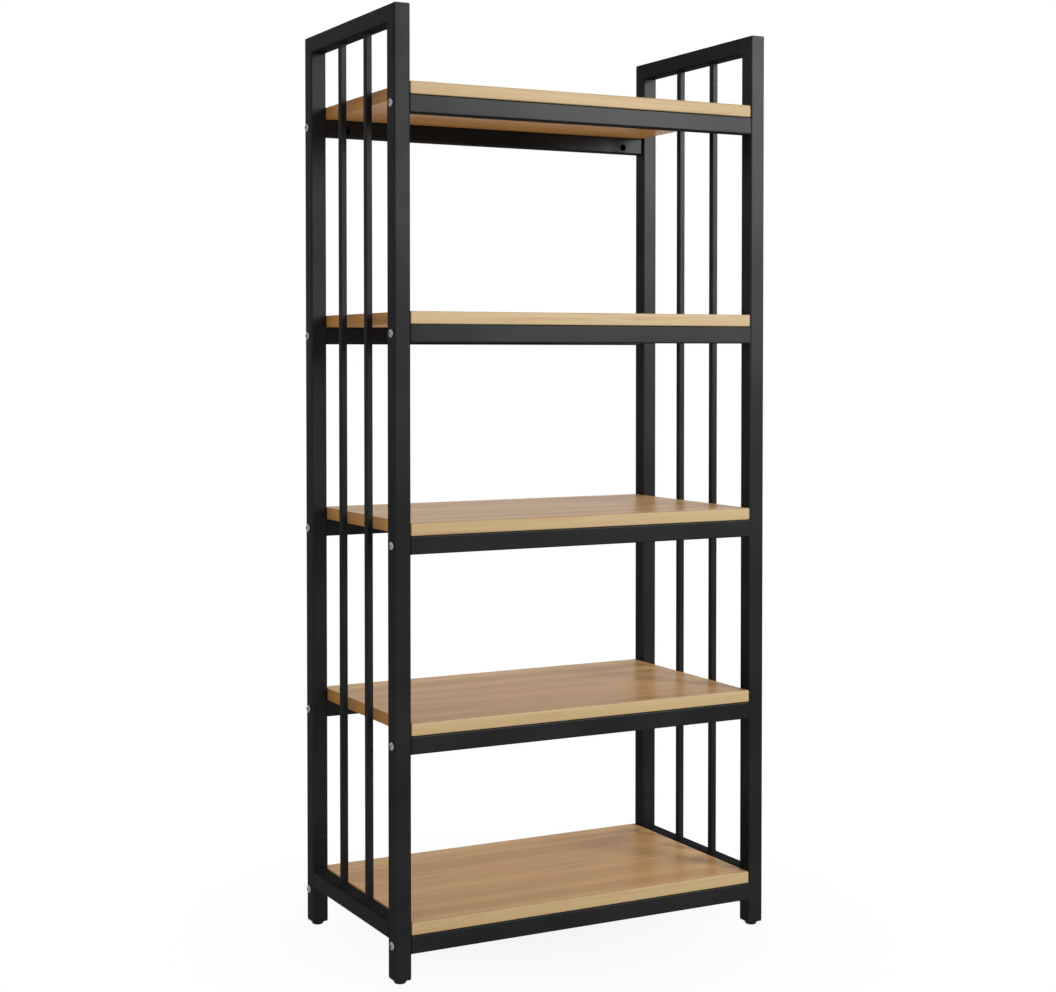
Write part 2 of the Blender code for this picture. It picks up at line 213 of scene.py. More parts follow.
class ScrewSettings(bpy.types.PropertyGroup):
    head: length("Head", "Diameter of the pan head", 0.0078)
    rim: length("Rim", "Height of the head's upright rim", 0.0006)
    dome: length("Dome", "Rise of the head over its rim", 0.0016)
    shank: length("Shank", "Diameter of the shank", 0.0038)
    reach: length("Reach", "Length of the shank", 0.0135)
    wall: length("Wall", "Thickness of the rail's wall that the head bears on", 0.0012)
    drive: length("Drive", "Span of the cross recess", 0.0042)
    drive_depth: length("Drive depth", "Depth of the cross recess", 0.0013)
    inset: length("Inset", "Distance of a screw from its rail's end", 0.110)
    seed: IntProperty(name="Seed", description="Seed of the screws' turned positions", default=3)


class WeldSettings(bpy.types.PropertyGroup):
    bead: length("Bead", "Radius of a fillet weld", 0.0012)
    ripple: length("Ripple", "Pitch of the weld's ripples", 0.0018)
    ripple_share: share("Ripple share", "Swell of each ripple as a share of the radius", 0.10)
    clearance: length("Clearance", "Gap that a ground seam fills", 0.0003)
    flush: length("Flush", "How far a ground seam stays under the faces beside it", 0.00003)


class FootSettings(bpy.types.PropertyGroup):
    plastic: colour("Plastic", "Colour of the pads and plugs", linear(15, 15, 15))
    roughness: share("Roughness", "Roughness of the plastic", 0.50)
    specular: share("Specular", "Strength of the plastic's mirror reflection", 0.15)
    steel: colour("Steel", "Colour of the stems", linear(150, 150, 152))
    steel_roughness: share("Steel roughness", "Roughness of the stems", 0.36)
    base: length("Base", "Diameter of the pad where it meets the floor", 0.0175)
    base_round: length("Base rounding", "Radius of the pad's lower edge", 0.0016)
    top_round: length("Top rounding", "Radius of the pad's upper edge", 0.0008)
    socket_floor: length("Socket floor", "Thickness under the stem's collar", 0.0014)
    clearance: length("Clearance", "Gap round the stem in the pad", 0.0003)
    stem: length("Stem", "Outer diameter of the stem's thread", 0.008)
    collar: length("Collar", "Diameter of the stem's collar", STEM_BOX.x)
    collar_height: length("Collar height", "Height of the stem's collar", 0.0018)
    pitch: length("Pitch", "Rise of the thread in one turn", 0.00125)
    thread: length("Thread", "Depth of the thread", 0.00068)
    sides: IntProperty(name="Sides", description="Facets round the pads", default=48, min=12)


class StageSettings(bpy.types.PropertyGroup):
    eye: point("Eye", "The camera's place", (-1.38361, -2.43631, 0.88072))
    turn: bearing("Turn", "The camera's turn from +Y towards +X", 0.45590)
    tilt: bearing("Tilt", "The camera's tilt above the horizon", -0.02362)
    roll: bearing("Roll", "The camera's roll", -0.00147)
    lens: FloatProperty(name="Lens", description="Focal length in millimetres", default=61.534)
    shift: FloatVectorProperty(name="Shift", description="The lens's shift to the side and up",
                               default=(0.09794, -0.08964), size=2)
    floor: colour("Floor", "Colour of the floor", (0.60, 0.60, 0.60))
    shadow: share("Shadow", "How much of the floor's own shading shows near the feet", 0.10)
    shadow_reach: length("Shadow reach", "Distance at which the floor's shading has faded to white", 0.62)
    ambient: share("Ambient", "Strength of the light that comes from all round", 0.42)
    aim: point("Aim", "Point that the softboxes face", (0.0, 0.0, 0.95))
    key: watts("Key", "Power of the main softbox in watts", 185.0)
    key_size: spread("Key size", "Width and height of the main softbox", (1.4, 2.4))
    key_place: point("Key place", "Middle of the main softbox", (2.92, -4.50, 2.30))
    fill: watts("Fill", "Power of the low softbox at the left in watts", 38.0)
    fill_size: spread("Fill size", "Width and height of the low softbox", (1.5, 1.0))
    fill_place: point("Fill place", "Middle of the low softbox", (-3.20, -3.40, 0.70))
    back: watts("Back", "Power of the softbox behind the case in watts", 56.0)
    back_size: spread("Back size", "Width and height of the softbox behind the case", (1.6, 1.2))
    back_place: point("Back place", "Middle of the softbox behind the case", (4.20, 2.40, 2.40))
    side: watts("Side", "Power of the softbox that the left-hand faces mirror, in watts", 11.0)
    side_size: spread("Side size", "Width and height of the left-hand softbox", (1.8, 2.2))
    side_place: point("Side place", "Middle of the left-hand softbox", (-2.60, 4.00, 1.70))


class Wire:
    """A node's output socket. Arithmetic on it adds Math nodes."""

    def __init__(self, tree, socket):
        self.tree = tree
        self.socket = socket

    def maths(self, operation, *operands):
        return self.tree.node("ShaderNodeMath", {"operation": operation}, dict(enumerate(operands)))

    def __add__(self, other):
        return self.maths("ADD", self, other)

    def __radd__(self, other):
        return self.maths("ADD", other, self)

    def __sub__(self, other):
        return self.maths("SUBTRACT", self, other)

    def __rsub__(self, other):
        return self.maths("SUBTRACT", other, self)

    def __mul__(self, other):
        return self.maths("MULTIPLY", self, other)

    def __rmul__(self, other):
        return self.maths("MULTIPLY", other, self)

    def __truediv__(self, other):
        return self.maths("DIVIDE", self, other)

    def __rtruediv__(self, other):
        return self.maths("DIVIDE", other, self)

    def __abs__(self):
        return self.maths("ABSOLUTE", self)

    def sine(self):
        return self.maths("SINE", self)

    def cosine(self):
        return self.maths("COSINE", self)

    def root(self):
        return self.maths("SQRT", self)

    def fraction(self):
        return self.maths("FRACT", self)

    def at_most(self, other):
        return self.maths("MINIMUM", self, other)

    def at_least(self, other):
        return self.maths("MAXIMUM", self, other)

    def held(self):
        """Held between 0 and 1."""
        return self.at_least(0.0).at_most(1.0)

    def above(self, other):
        return self.maths("GREATER_THAN", self, other)


class Tree:
    """A node tree that is written as calls."""

    def __init__(self, tree):
        self.tree = tree

    def node(self, kind, settings=None, sockets=None, output=0):
        """Adds a node, makes its settings, then sets or links its sockets, and gives one of its outputs."""
        made = self.tree.nodes.new(kind)
        for name, value in (settings or {}).items():
            setattr(made, name, value)
        for key, value in (sockets or {}).items():
            self.feed(made.inputs[key], value)
        return Wire(self, made.outputs[output])

    def feed(self, socket, value):
        """Links a socket to a wire or to a list of wires, or sets its value."""
        if isinstance(value, list):
            for each in value:
                self.feed(socket, each)
        elif isinstance(value, Wire):
            self.tree.links.new(value.socket, socket)
        else:
            socket.default_value = value

    def parts(self, vector):
        source = self.tree.nodes.new("ShaderNodeSeparateXYZ")
        self.feed(source.inputs[0], vector)
        return [Wire(self, output) for output in source.outputs]

    def vector(self, x, y, z):
        return self.node("ShaderNodeCombineXYZ", None, {"X": x, "Y": y, "Z": z})

    def ease(self, value, low, high):
        """Runs smoothly from 0 at low to 1 at high."""
        settings = {"interpolation_type": "SMOOTHSTEP"}
        return self.node("ShaderNodeMapRange", settings, {"Value": value, "From Min": low, "From Max": high})


class Finish(Tree):
    """A material round one Principled shader. Noise scales are in features per metre."""

    def __init__(self, name):
        self.material = bpy.data.materials.new(name)
        self.material.use_nodes = True
        super().__init__(self.material.node_tree)
        self.shader = self.tree.nodes["Principled BSDF"]

    def coordinates(self, output="Object"):
        return self.node("ShaderNodeTexCoord", output=output)

    def noise(self, vector, scale, detail=2.0, roughness=0.5):
        return self.node("ShaderNodeTexNoise", None,
                         {"Vector": vector, "Scale": scale, "Detail": detail, "Roughness": roughness})

    def mix(self, first, second, factor):
        """A colour between two. Sockets 6 and 7 and output 2 are the Mix node's colours."""
        first, second = (opaque(c) if not isinstance(c, Wire) else c for c in (first, second))
        return self.node("ShaderNodeMix", {"data_type": "RGBA"}, {0: factor, 6: first, 7: second}, 2)

    def bump(self, height, depth, strength=1.0):
        return self.node("ShaderNodeBump", None, {"Height": height, "Distance": depth, "Strength": strength})

    def show(self, **values):
        """Sets the shader's sockets by name, with _ for a space."""
        for name, value in values.items():
            self.feed(self.shader.inputs[name.replace("_", " ")], value)
        return self.material


class Shaper(Tree):
    """A Geometry Nodes tree with named inputs."""

    def __init__(self, name):
        super().__init__(bpy.data.node_groups.new(name, "GeometryNodeTree"))
        self.tree.interface.new_socket("Geometry", in_out="OUTPUT", socket_type="NodeSocketGeometry")
        self.source = self.tree.nodes.new("NodeGroupInput")
        self.geometry = self.asked("Geometry", "Geometry")

    def asked(self, name, kind="Float"):
        self.tree.interface.new_socket(name, in_out="INPUT", socket_type="NodeSocket" + kind)
        return Wire(self, self.source.outputs[name])

    def close(self, geometry, material):
        """Ends the tree in real geometry with its material."""
        real = self.node("GeometryNodeRealizeInstances", None, {"Geometry": geometry})
        done = self.node("GeometryNodeSetMaterial", None, {"Geometry": real, "Material": material})
        self.feed(self.tree.nodes.new("NodeGroupOutput").inputs[0], done)
        return self.tree

    def turned(self, columns, rows, rise, radius_at, height_at):
        """A shell turned about Z: a grid whose rows run over rise, rolled up by two functions of the row."""
        grid = self.node("GeometryNodeMeshGrid", None,
                         {"Size X": 1.0, "Size Y": rise, "Vertices X": columns, "Vertices Y": rows})
        across, along, _ = self.parts(self.node("GeometryNodeInputPosition"))
        run = along + rise / 2
        angle = across * -FULL_TURN
        radius = radius_at(run, angle)
        place = self.vector(radius * angle.cosine(), radius * angle.sine(), height_at(run))
        rolled = self.node("GeometryNodeSetPosition", None, {"Geometry": grid, "Position": place})
        return self.node("GeometryNodeMergeByDistance", None, {"Geometry": rolled, "Distance": SAME_POINT})

    def placed(self, instance, **sockets):
        """The instance on each point of the tree's own geometry."""
        return self.node("GeometryNodeInstanceOnPoints", None,
                         {"Points": self.geometry, "Instance": instance, **sockets})

    def moved_up(self, geometry, rise):
        return self.node("GeometryNodeTransform", None,
                         {"Geometry": geometry, "Translation": self.vector(0.0, 0.0, rise)})

    def cylinder(self, sides, radius, depth):
        return self.node("GeometryNodeMeshCylinder", {"fill_type": "NGON"},
                         {"Vertices": sides, "Radius": radius, "Depth": depth})

    def boolean(self, operation, sockets):
        return self.node("GeometryNodeMeshBoolean", {"operation": operation, "solver": "EXACT"}, sockets)


def black_coat(settings):
    """Powder coat with fine pigment, orange peel and edges that handling has polished.

    The film is faintly uneven, and drier on the faces that look up or down.
    """
    coat = Finish("black_powder_coat")
    place = coat.coordinates()
    facing_x, facing_y, facing_z = (abs(part) for part in coat.parts(coat.coordinates("Normal")))
    corner = 1 - facing_x.at_least(facing_y).at_least(facing_z)
    edge = coat.ease(corner, 0.02, 0.25)
    level = coat.ease(facing_z, 0.10, 0.70)
    film = coat.noise(place, 7.0, detail=3.0)
    peel = coat.noise(place, 1 / settings.peel)
    grit = coat.noise(place, 3.6 / settings.peel)
    patches = coat.ease(coat.noise(place, 46.0, detail=4.0, roughness=0.62), 0.46, 0.70)
    rub = edge * (0.25 + 0.55 * patches)
    thick = [c * 1.35 for c in settings.charcoal]
    tone = coat.mix(settings.charcoal, thick, coat.ease(film, 0.30, 0.72))
    tone = coat.mix(tone, settings.rubbed, rub)
    roughness = settings.roughness + 0.04 * (film - 0.5) + 0.08 * (grit - 0.5) - 0.04 * rub
    roughness = roughness + settings.dryness * level
    normal = coat.bump(0.65 * peel + 0.35 * grit, settings.peel_depth)
    return coat.show(Base_Color=tone, Roughness=roughness, Normal=normal, Metallic=settings.pigment,
                     Specular_IOR_Level=settings.specular, Specular_Tint=opaque([settings.glance] * 3))


def wood_grain(name, axes, slice_scale, tones, roughness, specular, fineness):
    """Wood print: broad growth bands, darker streaks, fine fibres and short pores.

    The axes run along the grain, across it and through it. The last one picks the slice of the print.
    """
    wood = Finish(name)
    places = dict(zip("xyz", wood.parts(wood.coordinates())))
    along, across, through = (places[axis] for axis in axes)
    slice_at = through * slice_scale
    drift = wood.noise(wood.vector(along * 1.1, across * 4.0, slice_at), 1.0) - 0.5
    wander = across + 0.05 * drift

    def layer(per_length, per_width, start, detail, noise_roughness=0.5):
        """Noise with so many features per metre along the grain and across it."""
        place = wood.vector(along * per_length, wander * per_width * fineness, slice_at + start)
        return wood.noise(place, 1.0, detail, noise_roughness)

    bands = layer(0.30, 17, start=0, detail=3.0, noise_roughness=0.55)
    streaks = layer(3.6, 70, start=9, detail=4.0, noise_roughness=0.60)
    heart = layer(2.6, 26, start=31, detail=3.0)
    fibres = layer(9.0, 620, start=5, detail=3.0, noise_roughness=0.62)
    pores = layer(42.0, 1500, start=2, detail=1.0)
    ticks = wood.ease(pores, 0.64, 0.78)
    pale, tan, brown = tones
    tone = wood.mix(pale, tan, wood.ease(bands, 0.36, 0.62))
    tone = wood.mix(tone, brown, 0.56 * wood.ease(streaks, 0.50, 0.80))
    tone = wood.mix(tone, brown, 0.44 * wood.ease(heart, 0.58, 0.78))
    tone = wood.mix(tone, pale, 0.28 * wood.ease(fibres, 0.50, 0.75))
    tone = wood.mix(tone, brown, 0.30 * wood.ease(1 - fibres, 0.52, 0.75) + 0.25 * ticks)
    gloss = roughness + 0.10 * (fibres - 0.5) + 0.10 * ticks
    normal = wood.bump(fibres - 0.8 * ticks, depth=0.00004, strength=0.8)
    return wood.show(Base_Color=tone, Roughness=gloss, Normal=normal, Specular_IOR_Level=specular)


def board_finishes(settings):
    """A board's finishes in the order of its material slots.

    They are the laminate on top, the pale band on the long edges, paler partly as a painted sheen, the band's
    wood darkened as painted shade on the short ends, and the warmer backing underneath, partly painted bounce
    light.
    """

    def tones(part):
        return [getattr(settings, part + tone) for tone in ("pale", "tan", "brown")]

    face = {"axes": "xyz", "slice_scale": 11.0, "fineness": 1.0, "roughness": settings.roughness,
            "specular": settings.specular}
    band = {"slice_scale": 3.0, "fineness": 1.6}
    return (
        wood_grain("wood_laminate", tones=tones(""), **face),
        # The long edges: the band, paler partly as a painted sheen.
        wood_grain("wood_edge_band", "xzy", tones=tones("band_"), roughness=settings.band_roughness,
                   specular=settings.band_specular, **band),
        # The short ends: the band's wood darkened as painted shade.
        wood_grain("wood_end_band", "yzx", tones=tones("end_"), roughness=settings.end_roughness,
                   specular=settings.end_specular, **band),
        # The undersides: a warmer backing, partly painted bounce light.
        wood_grain("wood_backing", tones=tones("under_"), **face),
    )


def bright_zinc(settings):
    """Zinc plating with a fine grain and duller clouds. All fasteners share it."""
    made = bpy.data.materials.get(ZINC)
    if made:
        return made
    zinc = Finish(ZINC)
    place = zinc.coordinates()
    cloud = zinc.noise(place, 260.0, detail=3.0)
    grain = zinc.noise(place, 2400.0)
    dull = [c * 0.72 for c in settings.zinc]
    tone = zinc.mix(dull, settings.zinc, zinc.ease(cloud, 0.28, 0.62))
    roughness = settings.roughness + 0.16 * (cloud - 0.5) + 0.10 * (grain - 0.5)
    normal = zinc.bump(grain, depth=0.00001)
    return zinc.show(Base_Color=tone, Roughness=roughness, Metallic=1.0, Normal=normal)


def thread_steel(settings):
    """Drawn steel with oily dark clouds."""
    steel = Finish("threaded_steel")
    place = steel.coordinates()
    cloud = steel.noise(place, 420.0, detail=3.0)
    oily = [c * 0.45 for c in settings.steel]
    tone = steel.mix(oily, settings.steel, steel.ease(cloud, 0.30, 0.66))
    roughness = settings.steel_roughness + 0.20 * (cloud - 0.5)
    normal = steel.bump(steel.noise(place, 3000.0, detail=1.0), depth=0.00001)
    return steel.show(Base_Color=tone, Roughness=roughness, Metallic=1.0, Normal=normal)


def black_plastic(settings):
    """Moulded plastic with a spark-eroded grain and scuffs."""
    plastic = Finish("black_moulded_plastic")
    place = plastic.coordinates()
    grain = plastic.noise(place, 1500.0)
    scuff = plastic.ease(plastic.noise(place, 160.0, detail=4.0, roughness=0.6), 0.52, 0.74)
    worn = [c * 2.1 + 0.002 for c in settings.plastic]
    tone = plastic.mix(settings.plastic, worn, 0.7 * scuff)
    roughness = settings.roughness + 0.12 * (grain - 0.5) + 0.12 * scuff
    normal = plastic.bump(grain, depth=0.00003)
    return plastic.show(Base_Color=tone, Roughness=roughness, Normal=normal,
                        Specular_IOR_Level=settings.specular)


def settle(mesh):
    """Shades a mesh smooth but for its sharp edges."""
    mesh.shade_smooth()
    mesh.set_sharp_from_angle(angle=SMOOTH_BELOW)
    return mesh


def mesh_from(bm, name, *materials):
    mesh = bpy.data.meshes.new(name)
    bm.to_mesh(mesh)
    bm.free()
    for material in materials:
        mesh.materials.append(material)
    return settle(mesh)


def paint_nodes(nodes, material):
    """Gives CAD nodes that stay visible their finish."""
    for node in nodes:
        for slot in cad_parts[node].material_slots:
            slot.material = material


def add_piece(name, mesh, body, nodes=()):
    """Puts a finished mesh into the scene as a piece of a body, in place of the CAD nodes it stands for."""
    piece = bpy.data.objects.new(name, mesh)
    bpy.context.scene.collection.objects.link(piece)
    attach(piece, body)
    if nodes:
        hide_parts(*nodes)


def tree_inputs(settings, labels, **known):
    """Values of a tree's inputs, from the settings of the same names where they aren't known already."""
    values = dict(known)
    for label in labels:
        if label not in known:
            values[label] = getattr(settings, label.lower().replace(" ", "_"))
    return values


def grown_mesh(name, mesh, tree, values):
    """Runs a Geometry Nodes tree on a mesh and gives its result as a plain mesh."""
    items = tree.interface.items_tree
    sockets = {item.name: item.identifier for item in items if item.in_out == "INPUT"}
    holder = bpy.data.objects.new(name, mesh)
    bpy.context.scene.collection.objects.link(holder)
    modifier = holder.modifiers.new(name, "NODES")
    modifier.node_group = tree
    for label, value in values.items():
        modifier[sockets[label]] = value
    graph = bpy.context.evaluated_depsgraph_get()
    grown = bpy.data.meshes.new_from_object(holder.evaluated_get(graph))
    holder.modifiers.clear()
    bpy.data.objects.remove(holder, do_unlink=True)
    grown.name = name
    return settle(grown)


def spot_mesh(name, spots):
    """Points with the way that each fastener's head faces."""
    mesh = bpy.data.meshes.new(name)
    mesh.from_pydata([place for place, _ in spots], [], [])
    outward = mesh.attributes.new("outward", "FLOAT_VECTOR", "POINT")
    for item, (_, way) in zip(outward.data, spots):
        item.vector = way
    return mesh


def line_mesh(name, lines):
    """Chains of points as edges. A line is (points, closed)."""
    places, edges = [], []
    for points, closed in lines:
        first = len(places)
        places += points
        chain = list(range(first, len(places)))
        edges += zip(chain, chain[1:])
        if closed:
            edges.append((chain[-1], chain[0]))
    mesh = bpy.data.meshes.new(name)
    mesh.from_pydata(places, edges, [])
    return mesh


def fastener_tree(name, drive_keys, material):
    """Dome-headed fasteners on points. Each is turned by a seeded amount about its own axis."""
    make = Shaper(name)
    head, rim, dome, shank, reach, drive, depth = map(make.asked, FASTENER_SIZES)
    seed = make.asked("Seed", "Int")
    dome_end, rim_end, under_end = 0.75, 1.00, 1.25  # where the parts of the head's outline end

    def lift(run):
        return (run / dome_end).at_most(1.0) * (math.pi / 2)

    def radius(run, angle):
        under = (run - rim_end).at_least(0.0) / (under_end - rim_end)
        return head / 2 * lift(run).sine() * (1 - under)

    def height(run):
        fall = ((run - dome_end) / (rim_end - dome_end)).held()
        return rim * (1 - fall) + dome * lift(run).cosine()

    cap = make.turned(columns=49, rows=11, rise=under_end, radius_at=radius, height_at=height)
    rod = make.cylinder(sides=24, radius=shank / 2, depth=reach + rim)
    rod = make.moved_up(rod, (rim - reach) / 2)
    whole = make.boolean("UNION", {"Mesh 2": [cap, rod]})
    keys = [make.moved_up(key, rim + dome) for key in drive_keys(make, drive, depth)]
    cut = make.boolean("DIFFERENCE", {"Mesh 1": whole, "Mesh 2": keys})
    outward = make.node("GeometryNodeInputNamedAttribute", {"data_type": "FLOAT_VECTOR"}, {"Name": "outward"})
    facing = make.node("FunctionNodeAlignRotationToVector", {"axis": "Z"}, {"Vector": outward})
    # Sockets 2 and 3 and output 1 are the Random Value node's plain numbers.
    spin = make.node("FunctionNodeRandomValue", {"data_type": "FLOAT"},
                     {2: 0.0, 3: FULL_TURN, "Seed": seed}, 1)
    turn = make.node("FunctionNodeEulerToRotation", None, {"Euler": make.vector(0.0, 0.0, spin)})
    turned = make.node("FunctionNodeRotateRotation", {"rotation_space": "LOCAL"},
                       {"Rotation": facing, "Rotate By": turn})
    return make.close(make.placed(cut, Rotation=turned), material)


def hexagon_keys(make, width, depth):
    """The solid that cuts a hexagon socket, as wide as its flats."""
    return [make.cylinder(sides=6, radius=width / math.sqrt(3), depth=depth * 2)]


def cross_keys(make, width, depth):
    """The two bars that cut a cross recess. One is a little deeper, so that no faces coincide."""
    thin = width * 0.24
    return [make.node("GeometryNodeMeshCube", None, {"Size": make.vector(*size)})
            for size in ((width, thin, depth * 2), (thin, width, depth * 2.02))]


def weld_tree(name, material):
    """Rippled beads along lines."""
    make = Shaper(name)
    bead, ripple, swell = map(make.asked, WELD_SIZES)
    line = make.node("GeometryNodeMeshToCurve", None, {"Mesh": make.geometry})
    line = make.node("GeometryNodeResampleCurve", {"mode": "LENGTH"}, {"Curve": line, "Length": ripple / 4})
    run = make.node("GeometryNodeSplineParameter", output="Length")
    section = make.node("GeometryNodeCurvePrimitiveCircle", None, {"Resolution": 10, "Radius": bead})
    scale = 1 + swell * (run * FULL_TURN / ripple).sine()
    beads = make.node("GeometryNodeCurveToMesh", None,
                      {"Curve": line, "Profile Curve": section, "Fill Caps": True, "Scale": scale})
    return make.close(beads, material)


def stem_tree(name, material):
    """A collared stem with a right-hand thread."""
    make = Shaper(name)
    stem, pitch, thread, collar, collar_height, reach = map(make.asked, STEM_SIZES)
    foot, neck, tip = 0.02, 0.06, 0.98  # shares of the run: the collar's side, the thread's start, the top
    run_in, run_out = 0.03, 0.04  # shares of the run over which the thread rises and fades
    valley, flank = 0.14, 0.72  # shares of half a turn
    step = 0.001

    def height(run):
        rise = ((run - neck) / (tip - neck)).held()
        lip = ((run - foot) / (neck - foot)).held()
        return collar_height * lip.above(step) + (reach - collar_height) * rise

    def radius(run, angle):
        turns = height(run) / pitch - angle / FULL_TURN
        wave = abs(turns.fraction() * 2 - 1)
        ridge = ((wave - valley) / flank).held()
        ends = ((run - neck) / run_in).held() * ((tip - run) / run_out).held()
        rod = stem / 2 - thread * (1 - ridge * ends)
        on_collar = 1 - (run - neck).above(-step)
        open_end = run.above(step) * (1 - (run - tip).above(step))
        return (rod + (collar / 2 - rod) * on_collar) * open_end

    shell = make.turned(columns=49, rows=301, rise=1.0, radius_at=radius, height_at=height)
    return make.close(make.placed(shell), material)


def board_mesh(name, node, settings, woods):
    """A board whose faces are bounded by a fine groove where the edge band meets them."""
    bm = bmesh.new()
    size = box_size(node) + Vector((2 * settings.reach, 0.0, 0.0))
    place = Matrix.Translation(box_middle(node)) @ Matrix.Diagonal((*size, 1.0))
    bmesh.ops.create_cube(bm, size=1.0, matrix=place)
    bmesh.ops.bevel(bm, geom=bm.edges[:], offset=settings.arris, segments=5, profile=0.5, affect="EDGES")
    flats = [face for face in bm.faces
             if abs(face.normal.z) > LEVEL_NORMAL and face.calc_area() > FACE_AREA]
    # Ends take the band's wood darkened as painted shade; long edges take the band, paler partly as painted
    # sheen.
    for face in bm.faces:
        endwise = abs(face.normal.x) > abs(face.normal.y)
        face.material_index = SHORT_END if endwise else LONG_EDGE
    rim = max(settings.band - settings.arris, LEAST_RIM)
    for flat in flats:
        for width, depth in ((rim, 0.0), (settings.seam, -settings.seam), (settings.seam, settings.seam)):
            bmesh.ops.inset_region(bm, faces=[flat], thickness=width, depth=depth, use_even_offset=True,
                                   use_boundary=True)
        # Undersides take the backing, whose tones are partly painted bounce light.
        flat.material_index = TOP_FACE if flat.normal.z > 0 else UNDERSIDE
    return mesh_from(bm, name, *woods)


def turned_mesh(name, profile, sides, place, material):
    """A solid turned about an upright axis from (r, z) points."""
    bm = bmesh.new()
    verts = [bm.verts.new((r, 0.0, z)) for r, z in profile]
    edges = [bm.edges.new(pair) for pair in zip(verts, verts[1:])]
    bmesh.ops.spin(bm, geom=verts + edges, cent=(0.0, 0.0, 0.0), axis=(0.0, 0.0, 1.0), angle=FULL_TURN,
                   steps=sides, use_merge=True)
    bmesh.ops.remove_doubles(bm, verts=bm.verts, dist=SAME_POINT)
    bmesh.ops.recalc_face_normals(bm, faces=bm.faces)
    bmesh.ops.translate(bm, verts=bm.verts, vec=place)
    return mesh_from(bm, name, material)


def rounded(centre, radius, start, end, steps=6):
    """Points of an arc in the (r, z) half plane, with angles in degrees."""
    turns = [math.radians(start + (end - start) * step / steps) for step in range(steps + 1)]
    return [(centre[0] + radius * math.cos(a), centre[1] + radius * math.sin(a)) for a in turns]


def pad_profile(settings):
    """The pad's section: socket and neck for the stem, then down the tapered outer side to the base."""
    floor = settings.socket_floor
    collar = settings.collar / 2 + settings.clearance
    neck = settings.stem / 2 + settings.clearance
    lip = floor + settings.collar_height + 2 * settings.clearance
    edge, top = PAD_BOX.x / 2, PAD_BOX.z
    high, low = settings.top_round, settings.base_round
    profile = [(0.0, floor), (collar, floor), (collar, lip), (neck, lip)]
    profile += rounded((neck + NECK_ROUND, top - NECK_ROUND), NECK_ROUND, 180, 90, steps=3)
    profile += rounded((edge - high, top - high), high, 90, 0)
    profile += rounded((settings.base / 2 - low, low), low, 0, -90)
    return profile + [(0.0, 0.0)]


def seam_plate(bm, middle, normal, width, run, thickness):
    """Adds a thin rounded plate that fills a ground weld's seam. Its width runs along X."""
    steps = 5
    across = Vector((1.0, 0.0, 0.0))
    up = normal.cross(across)
    inner = width / 2 - SEAM_CORNER
    ring = []
    for quarter, (side_x, side_y) in enumerate(((1, 1), (-1, 1), (-1, -1), (1, -1))):
        for step in range(steps + 1):
            angle = math.radians(90 * (quarter + step / steps))
            x = side_x * inner + SEAM_CORNER * math.cos(angle)
            y = side_y * inner + SEAM_CORNER * math.sin(angle)
            ring.append(middle + across * x + up * (y * run / width) - normal * (thickness / 2))
    face = bm.faces.new([bm.verts.new(corner) for corner in ring])
    drawn = bmesh.ops.extrude_face_region(bm, geom=[face])["geom"]
    far = [item for item in drawn if isinstance(item, bmesh.types.BMVert)]
    bmesh.ops.translate(bm, verts=far, vec=normal * thickness)


def weld_lines(bead):
    """Fillet welds: round each bar's two ends, and above and below the bottom rails where they meet posts."""
    lines = []
    cut = BAR_CORNER
    for side in SIDES:
        for end in ENDS:
            low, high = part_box(f"{side}_{end}_bar")
            ring = [(low.x + cut, low.y), (high.x - cut, low.y), (high.x, low.y + cut),
                    (high.x, high.y - cut), (high.x - cut, high.y), (low.x + cut, high.y),
                    (low.x, high.y - cut), (low.x, low.y + cut)]
            for z in (low.z, high.z):
                lines.append(([(x, y, z) for x, y in ring], True))
        low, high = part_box(f"{side}_bottom_rail")
        for y in (low.y, high.y):
            for z in (low.z, high.z):
                lines.append(([(low.x + 2 * bead, y, z), (high.x - 2 * bead, y, z)], False))
    return lines


def ground_seams(settings, material):
    """Plates in the mitres of the top corners and in the butt joints of the bottom rails."""
    bm = bmesh.new()
    tube = box_size("left_front_post").x
    gap = settings.clearance
    width = tube - 2 * settings.flush
    for side in SIDES:
        x = box_middle(f"{side}_front_post").x
        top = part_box(f"{side}_top_rail")[1].z
        low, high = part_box(f"{side}_bottom_rail")
        for facing in ENDS.values():
            y = facing * (CAD_BOX[1][1] - tube / 2)
            mitre = Vector((x, y, top - tube / 2))
            normal = Vector((0.0, facing, -1.0)).normalized()
            seam_plate(bm, mitre, normal, width, width * math.sqrt(2) - 2 * gap, gap)
            seat = high.y if facing > 0 else low.y
            butt = Vector((x, seat + facing * gap / 2, (low.z + high.z) / 2))
            seam_plate(bm, butt, Vector((0.0, facing, 0.0)), width, width, gap)
    bmesh.ops.recalc_face_normals(bm, faces=bm.faces)
    return mesh_from(bm, "ground_seams", material)


class BOOKCASE_OT_coat_steel(bpy.types.Operator):
    """Give the tubes and rails their powder coat, with welds at the joints of the side frames"""

    bl_idname = "bookcase.coat_steel"
    bl_label = "Coat the steel"

    def execute(self, context):
        coat = black_coat(context.scene.bookcase_coat)
        steel = [f"{side}_{part}" for side in SIDES for part in ("top_rail", "bottom_rail")]
        steel += [f"{side}_{end}_{part}" for side, end in CORNERS for part in ("post", "bar")]
        steel += [f"{level}_{end}_rail" for level in LEVELS for end in ENDS]
        paint_nodes(steel, coat)
        welds = context.scene.bookcase_weld
        lines = line_mesh("weld_lines", weld_lines(welds.bead))
        values = tree_inputs(welds, WELD_SIZES)
        beads = grown_mesh("fillet_welds", lines, weld_tree("weld_beads", coat), values)
        add_piece("fillet_welds", beads, CASE)
        add_piece("ground_seams", ground_seams(welds, coat), CASE)
        return {"FINISHED"}


